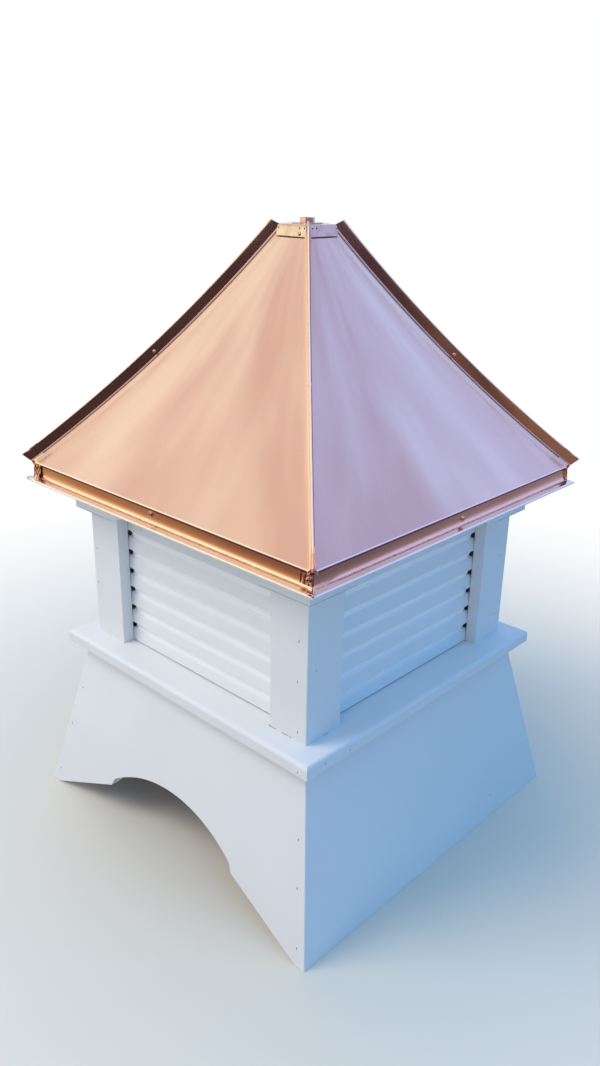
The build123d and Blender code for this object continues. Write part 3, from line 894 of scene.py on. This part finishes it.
def cap_flange(angle, lift_left, lift_right):
    """Rows of points for one flange, with its bend at the top and rounded lower corners."""
    def at(down, across):
        out = cap_half + cap_flare * down
        if down < 0.12:
            out = cap_half - 1.6 * mm * (1 - down / 0.12) ** 2
        half = 27.6 * mm + 1.6 * mm * down
        from_end = (1 - down) * (cap_rim - cap_bottom)
        if from_end < corner_round:
            half -= corner_round - math.sqrt(max(corner_round ** 2 - (corner_round - from_end) ** 2, 0))
        s = 2 * across - 1
        curl = 0.5 * mm * down * (lift_left * max(-s, 0) ** 3 + lift_right * max(s, 0) ** 3)
        return turned(angle, s * half, out + curl, cap_rim - (cap_rim - cap_bottom) * down)

    return point_rows(16, 24, at)


def cap_top_point(down, across):
    """A point of the cap's top, which is domed in the middle and wavy towards its rim."""
    reach = cap_half - 1.2 * mm
    x, y = reach * (2 * across - 1), reach * (1 - 2 * down)
    pull = 1 - 8 * max(0.0, abs(x) + abs(y) - (2 * reach - 5 * mm))
    share = max(abs(x), abs(y)) / reach
    wave = 0.5 * mm * noise.noise(Vector((x * 60, y * 60, 3.0))) * share
    up = cap_top - 0.1 * mm - (cap_top - cap_rim - 0.3 * mm) * ease_in(share, 0.35, 1.0) + wave
    return Vector((x * pull, y * pull, up))


shaper = bmesh.new()
for angle, left_lift, right_lift in ((0, 0.4, 0.2), (90, 0.2, 1.0), (180, 0.5, 0.3), (270, 0.3, 0.6)):
    add_skin(shaper, cap_flange(angle, left_lift, right_lift))
add_skin(shaper, point_rows(12, 12, cap_top_point))
cap = piece("cap_sheet", shaper, cap_copper, thickness=0.9 * mm, replaces=["peak_cap"])
# A thin strip of painted shadow on the roof under the cap's rim.
rim_line = [roof_point(out * mm, 0.4 * mm) for out in (32.7, 33.2, 33.7)]
shaper = bmesh.new()
for angle in side_angle.values():
    add_strip(shaper, angle, rim_line, lambda out: (-27.5 * mm, 27.5 * mm), 16)
piece("cap_shadow", shaper, shade_brown)
print("cap", round(2 * cap_half / mm), "mm wide, faces", face_counts(cap))

# %% [markdown]
# At each corner of the eave a tab of the side sheet is folded round onto the front or back. Two
# corners came out neat, with a screw through the tab. At the other two the copper crumpled into a
# gusset under the lip, and a folded bit lies on the end of the flange.

# %% Folds at the eave corners
def fascia_normal(i):
    """The outward normal of the section at one point of the fascia."""
    a, b = fascia[max(i - 1, 0)], fascia[min(i + 1, len(fascia) - 1)]
    length = math.hypot(b[0] - a[0], b[1] - a[1])
    return (a[1] - b[1]) / length, (b[0] - a[0]) / length


def fascia_tab(shaper, angle, start, end, last, proud, crumple):
    """A crumpled tab that stands proud of the fascia, from its top to a point of its section."""
    rows = []
    for i in range(last + 1):
        (out, up), (n_out, n_up) = fascia[i], fascia_normal(i)
        share = i / last
        row = []
        for j in range(19):
            along = start + (end - start) * (j / 18)
            fold = math.sin((along * 1000 + 9) * 0.9 + share * 1.4)
            rough = noise.noise(Vector((along * 170, up * 120, 3.0)))
            lift = proud + crumple * (0.5 * fold + 0.8 * rough) * ease_in(share, 0, 0.2)
            row.append(turned(angle, along, out + n_out * lift, up + n_up * lift))
        rows.append(row)
    add_skin(shaper, rows)


def gusset(angle, start, end, top, bottom):
    """Crumpled copper under the lip: upright folds that spread out towards the flange."""
    def at(down, across):
        along = start + (end - start) * across
        fold = math.sin(along * 2.1 + 0.8 * math.sin(down * 4) + down)
        rough = noise.noise(Vector((along * 0.5, down * 4, 2.0)))
        out = 291.6 + 0.75 * fold * ease_in(down, -0.1, 0.3) + 0.9 * rough + 3.2 * down ** 2
        up = top + (bottom - top) * down
        return turned(angle, (along - 0.8 * down * across) * mm, out * mm, up * mm)

    return point_rows(14, 40, at)


def flange_bit(angle, corners, seed):
    """A small folded bit on the flange: four corners (along, out, up) with a rumpled middle."""
    def at(u, v):
        along, out, up = ((1 - u) * ((1 - v) * a + v * b) + u * ((1 - v) * c + v * d)
                          for a, b, c, d in zip(*corners))
        bump = 0.7 * noise.noise(Vector((u * 3, v * 5, seed))) + 0.5 * math.sin(v * 9 + seed)
        up += bump * math.sin(math.pi * u) * 1.2
        return turned(angle, along * mm, out * mm, up * mm)

    return point_rows(5, 8, at)


near_end = ((294, 303.6, 557.8), (303, 303.6, 557.0), (296, 298, 558.9), (304, 297, 558.6))
far_end = ((-291, 292, 562.5), (-285, 292, 562.0), (-281, 303.0, 557.8), (-268, 303.0, 558.0))
shaper = bmesh.new()
for angle in (0, 180):
    fascia_tab(shaper, angle, 272 * mm, 291.6 * mm, 9, 0.9 * mm, 0.55 * mm)
    for rows in (flange_bit(angle, near_end, 1.0), gusset(angle, -277.5, -294.0, 579.6, 557.8),
                 flange_bit(angle, far_end, 4.0)):
        add_skin(shaper, rows)
corner_folds = piece("corner_folds", shaper, fold_copper, thickness=0.7 * mm, offset=0.0,
                     smooth_angle=50, replaces=["eave_corner_tabs"])
print("faces of the corner folds", face_counts(corner_folds))

# %% [markdown]
# Round things, such as screw heads, rivets and holes, are one outline turned round an axis. The
# helper below lathes an outline of radius and height, and stands it on the copper at any slant.

# %% Screws and rivets in the copper
def lathe(shaper, outline, centre, axis, segments=20):
    """Turns an outline of (radius, height) points round an axis that starts at centre."""
    turn = Vector((0, 0, 1)).rotation_difference(axis.normalized()).to_matrix()
    rings = []
    for radius, height in outline:
        ring = []
        for i in range(segments):
            a = 2 * math.pi * i / segments
            local = Vector((radius * math.cos(a), radius * math.sin(a), height))
            ring.append(shaper.verts.new(centre + turn @ local))
        rings.append(ring)
    for low, high in zip(rings, rings[1:]):
        for i in range(segments):
            j = (i + 1) % segments
            shaper.faces.new((low[i], low[j], high[j], high[i]))
    shaper.faces.new(rings[-1])


def in_metres(outline):
    """An outline given in millimetres, in metres."""
    return [(radius * mm, height * mm) for radius, height in outline]


screw_outline = in_metres([(4.6, -0.6), (4.6, 0.5), (4.2, 0.9), (3.2, 1.0), (3.0, 2.2), (2.5, 3.0),
                           (1.5, 3.4), (1.2, 2.7), (0.4, 2.6)])
rivet_outline = in_metres([(2.7, -0.5), (2.7, 0.2), (2.3, 0.8), (1.5, 1.3), (0.9, 1.4), (0.8, 0.6),
                           (0.3, 0.5)])
hole_outline = in_metres([(1.15, -0.3), (1.15, 0.12), (0.4, 0.1)])
rivet_out = cap_half + 1.75 * mm
shaper = bmesh.new()
for angle, along, up in ((0, -7, 570.8), (90, 10.5, 566.8), (180, 10, 569.0), (270, -12, 569.5)):
    centre = turned(angle, along * mm, fascia_half + 0.3 * mm, up * mm)
    lathe(shaper, screw_outline, centre, turned(angle, 0, 1, 0.1))
for angle in (0, 180):
    centre = turned(angle, 286.6 * mm, fascia_half + 1.5 * mm, 569.5 * mm)
    lathe(shaper, screw_outline, centre, turned(angle, 0.4, 1, 0.12))
eave_screws = piece("eave_screws", shaper, screw_and_shade_copper, smooth_angle=35)
shaper = bmesh.new()
for corner, angle in hip_angle.items():
    run, up = hip_point(153 * mm, 9 * mm)
    for face in (1, -1):
        reach = 1.4 * mm if face == seam_facing[corner] else 1.05 * mm
        lathe(shaper, rivet_outline, turned(angle, face * reach, run, up), turned(angle, face, 0, 0))
for angle, along, up in ((0, 15.8, 923.4), (180, 15, 923.6), (270, 14, 923.6)):
    centre = turned(angle, along * mm, rivet_out, up * mm)
    lathe(shaper, rivet_outline, centre, turned(angle, 0, 1, 0.1))
copper_rivets = piece("copper_rivets", shaper, fold_copper, smooth_angle=35)
shaper = bmesh.new()
for angle, along, up in ((0, 15.4, 930.6), (0, 24.4, 930.8), (0, -25.0, 930.0), (90, -22.4, 930.6),
                         (90, -14.8, 930.6), (90, 26.0, 929.0), (180, 22, 930.2), (270, -20, 930.4)):
    out = cap_half + cap_flare * (cap_rim - up * mm) / (cap_rim - cap_bottom)
    centre = turned(angle, along * mm, out + 0.05 * mm, up * mm)
    lathe(shaper, hole_outline, centre, turned(angle, 0, 1, 0.1), 14)
pilot_holes = piece("pilot_holes", shaper, shadow_line)
print("faces of screws, rivets and holes", face_counts(eave_screws, copper_rivets, pilot_holes))

# %% [markdown]
# The blades are bent strips that run a little way behind the posts. Their upright part closes
# against the post, and only the sloping part leaves a small dark gap. The ends that run behind
# the posts are added here as short lengths of the blade's own section.

# %% Blade ends behind the posts
opening_half = 167.0
blade_face = 215.5
first_lip = 293.0
blade_pitch = 31.71
blade_count = 8
lip_height = 14.5
bend_radius = 14
blade_lean = math.radians(8)
blade_section = [(lip_height * math.sin(blade_lean) * t, lip_height * math.cos(blade_lean) * t)
                 for t in (0, 0.5, 1)]
bend_start = blade_section[-1]
for step in range(1, 6):
    turn = math.radians(8 + 30 * step / 5)
    blade_section.append((bend_start[0] + bend_radius * (math.cos(blade_lean) - math.cos(turn)),
                          bend_start[1] + bend_radius * (math.sin(turn) - math.sin(blade_lean))))
shaper = bmesh.new()
for angle in side_angle.values():
    for i in range(blade_count):
        for end in (-1, 1):
            alongs = sorted(end * (opening_half + step) for step in (-1.5, 1.5, 5))
            rows = []
            for back, rise in blade_section:
                out, up = blade_face + 0.42 - 0.75 * back, first_lip + i * blade_pitch + rise
                rows.append([turned(angle, along * mm, out * mm, up * mm) for along in alongs])
            add_skin(shaper, rows[::-1])
blade_ends = piece("blade_ends", shaper, blade_white, thickness=2.0 * mm)
print("faces of the blade ends", face_counts(blade_ends))

# %% [markdown]
# On the real louvre each lip nearly touches the slope of the blade below, so light fills the lap
# and shows it as a pale band. A thin cove closes each lap, and stops short of the blades' ends.
# Its paler paint is a painted highlight for that light.

# %% Closed laps between the blades
lap_section = [(0.7, 31.65), (2.6, 28.4), (3.9, 25.2), (4.5, 22.2), (4.2, 19.6), (3.95, 18.2)]
lap_half = (opening_half - 7.0) * mm
shaper = bmesh.new()
for angle in side_angle.values():
    for i in range(blade_count - 1):
        section = [((blade_face - back) * mm, (first_lip + i * blade_pitch + rise) * mm)
                   for back, rise in lap_section]
        add_strip(shaper, angle, section, lambda out: (-lap_half, lap_half), 24)
blade_laps = piece("blade_laps", shaper, lap_painted_light, smooth_angle=60)
print("faces of the laps", face_counts(blade_laps))

# %% [markdown]
# The white boards are held by brads, whose narrow heads show as small dark slots in the paint.
# Each slot is a thin flat mark set just proud of the board. Where a board stands on another, a
# little unsealed gap shows as a few dark dashes.

# %% Brads and open joints in the boards
mark_proud = 0.08 * mm
mark_depth = 0.4 * mm


def slot_mark(shaper, centre, across, along, outward, width, length):
    """A flat mark with rounded ends, as six corners, just proud of a board."""
    half_w, half_l = width / 2, length / 2
    outline = [(-half_w, -half_l * 0.75), (0, -half_l), (half_w, -half_l * 0.75),
               (half_w, half_l * 0.75), (0, half_l), (-half_w, half_l * 0.75)]
    places = [centre + across * x + along * y for x, y in outline]
    low = [shaper.verts.new(place - outward * mark_depth) for place in places]
    high = [shaper.verts.new(place + outward * mark_proud) for place in places]
    shaper.faces.new(high)
    for i in range(6):
        j = (i + 1) % 6
        shaper.faces.new((low[i], low[j], high[j], high[i]))


def board_mark(shaper, angle, along, out, up, lean=0.0, width=1.1, length=4.0, slant=0.0):
    """A mark on one side, on a board that leans back by an angle."""
    across = turned(angle, math.cos(slant), 0, 0)
    rise = turned(angle, math.sin(slant), -math.sin(lean), math.cos(lean))
    outward = turned(angle, 0, math.cos(lean), math.sin(lean))
    centre = turned(angle, along * mm, out * mm, up * mm)
    slot_mark(shaper, centre, across, rise, outward, width * mm, length * mm)


skirt_foot, skirt_rise, skirt_run = 305, 273, 59
sill_out = 271
post_out = 235
skirt_lean = math.atan2(skirt_run, skirt_rise)


def skirt_out(up):
    """Distance out of the skirt's face at a height."""
    return skirt_foot - up * skirt_run / skirt_rise


shaper = bmesh.new()
for angle in (0, 180):
    for along, up in ((255.7, 170), (268.3, 104.5), (285.2, 24),
                      (-252.6, 186), (-270.5, 115), (-288, 24)):
        board_mark(shaper, angle, along, skirt_out(up), up, skirt_lean)
for angle in (90, 270):
    board_mark(shaper, angle, 158, skirt_out(33.4), 33.4, skirt_lean, 1.0, 2.4)
    board_mark(shaper, angle, -236, sill_out, 283.5, 0, 1.0, 2.6)
    board_mark(shaper, angle, -186, sill_out, 279, 0, 1.0, 2.6)
for angle in (0, 180):
    board_mark(shaper, angle, 254, sill_out, 279, 0, 1.0, 2.6)
    for along, up in ((219, 443), (217.5, 383), (219, 306), (-225.6, 440), (-227.4, 381)):
        board_mark(shaper, angle, along, post_out, up, 0, 1.0, 4.4, 0.05)
for angle in (90, 270):
    for along, up in ((216, 435), (217, 330), (-218, 400)):
        board_mark(shaper, angle, along, post_out, up, 0, 0.9, 3.0)
brad_slots = piece("brad_slots", shaper, shadow_line)
shaper = bmesh.new()
for angle in (0, 180):
    for along, length in ((168.5, 9), (176.5, 4), (196, 13), (206, 4)):
        board_mark(shaper, angle, along, post_out, 292.4, 0, length, 0.8)
for angle in (90, 270):
    board_mark(shaper, angle, -196, post_out, 292.3, 0, 10, 0.6)
open_joints = piece("open_joints", shaper, shadow_line)
# Grey lines of painted shade under the header, at the foot of the blades and under the flange.
shaper = bmesh.new()
for angle in side_angle.values():
    for end in (-1, 1):
        board_mark(shaper, angle, end * 205.5, 251, 509.5, 0, 91, 0.75)
    board_mark(shaper, angle, 0, blade_face, 293.2, 0, 2 * opening_half, 0.8)
    board_mark(shaper, angle, 0, 303, 554.8, 0, 600, 0.7)
shadow_joints = piece("shadow_joints", shaper, painted_shade_grey)
print("faces of brads and joints", face_counts(brad_slots, open_joints, shadow_joints))

# %% [markdown]
# Every piece stands in its place now.
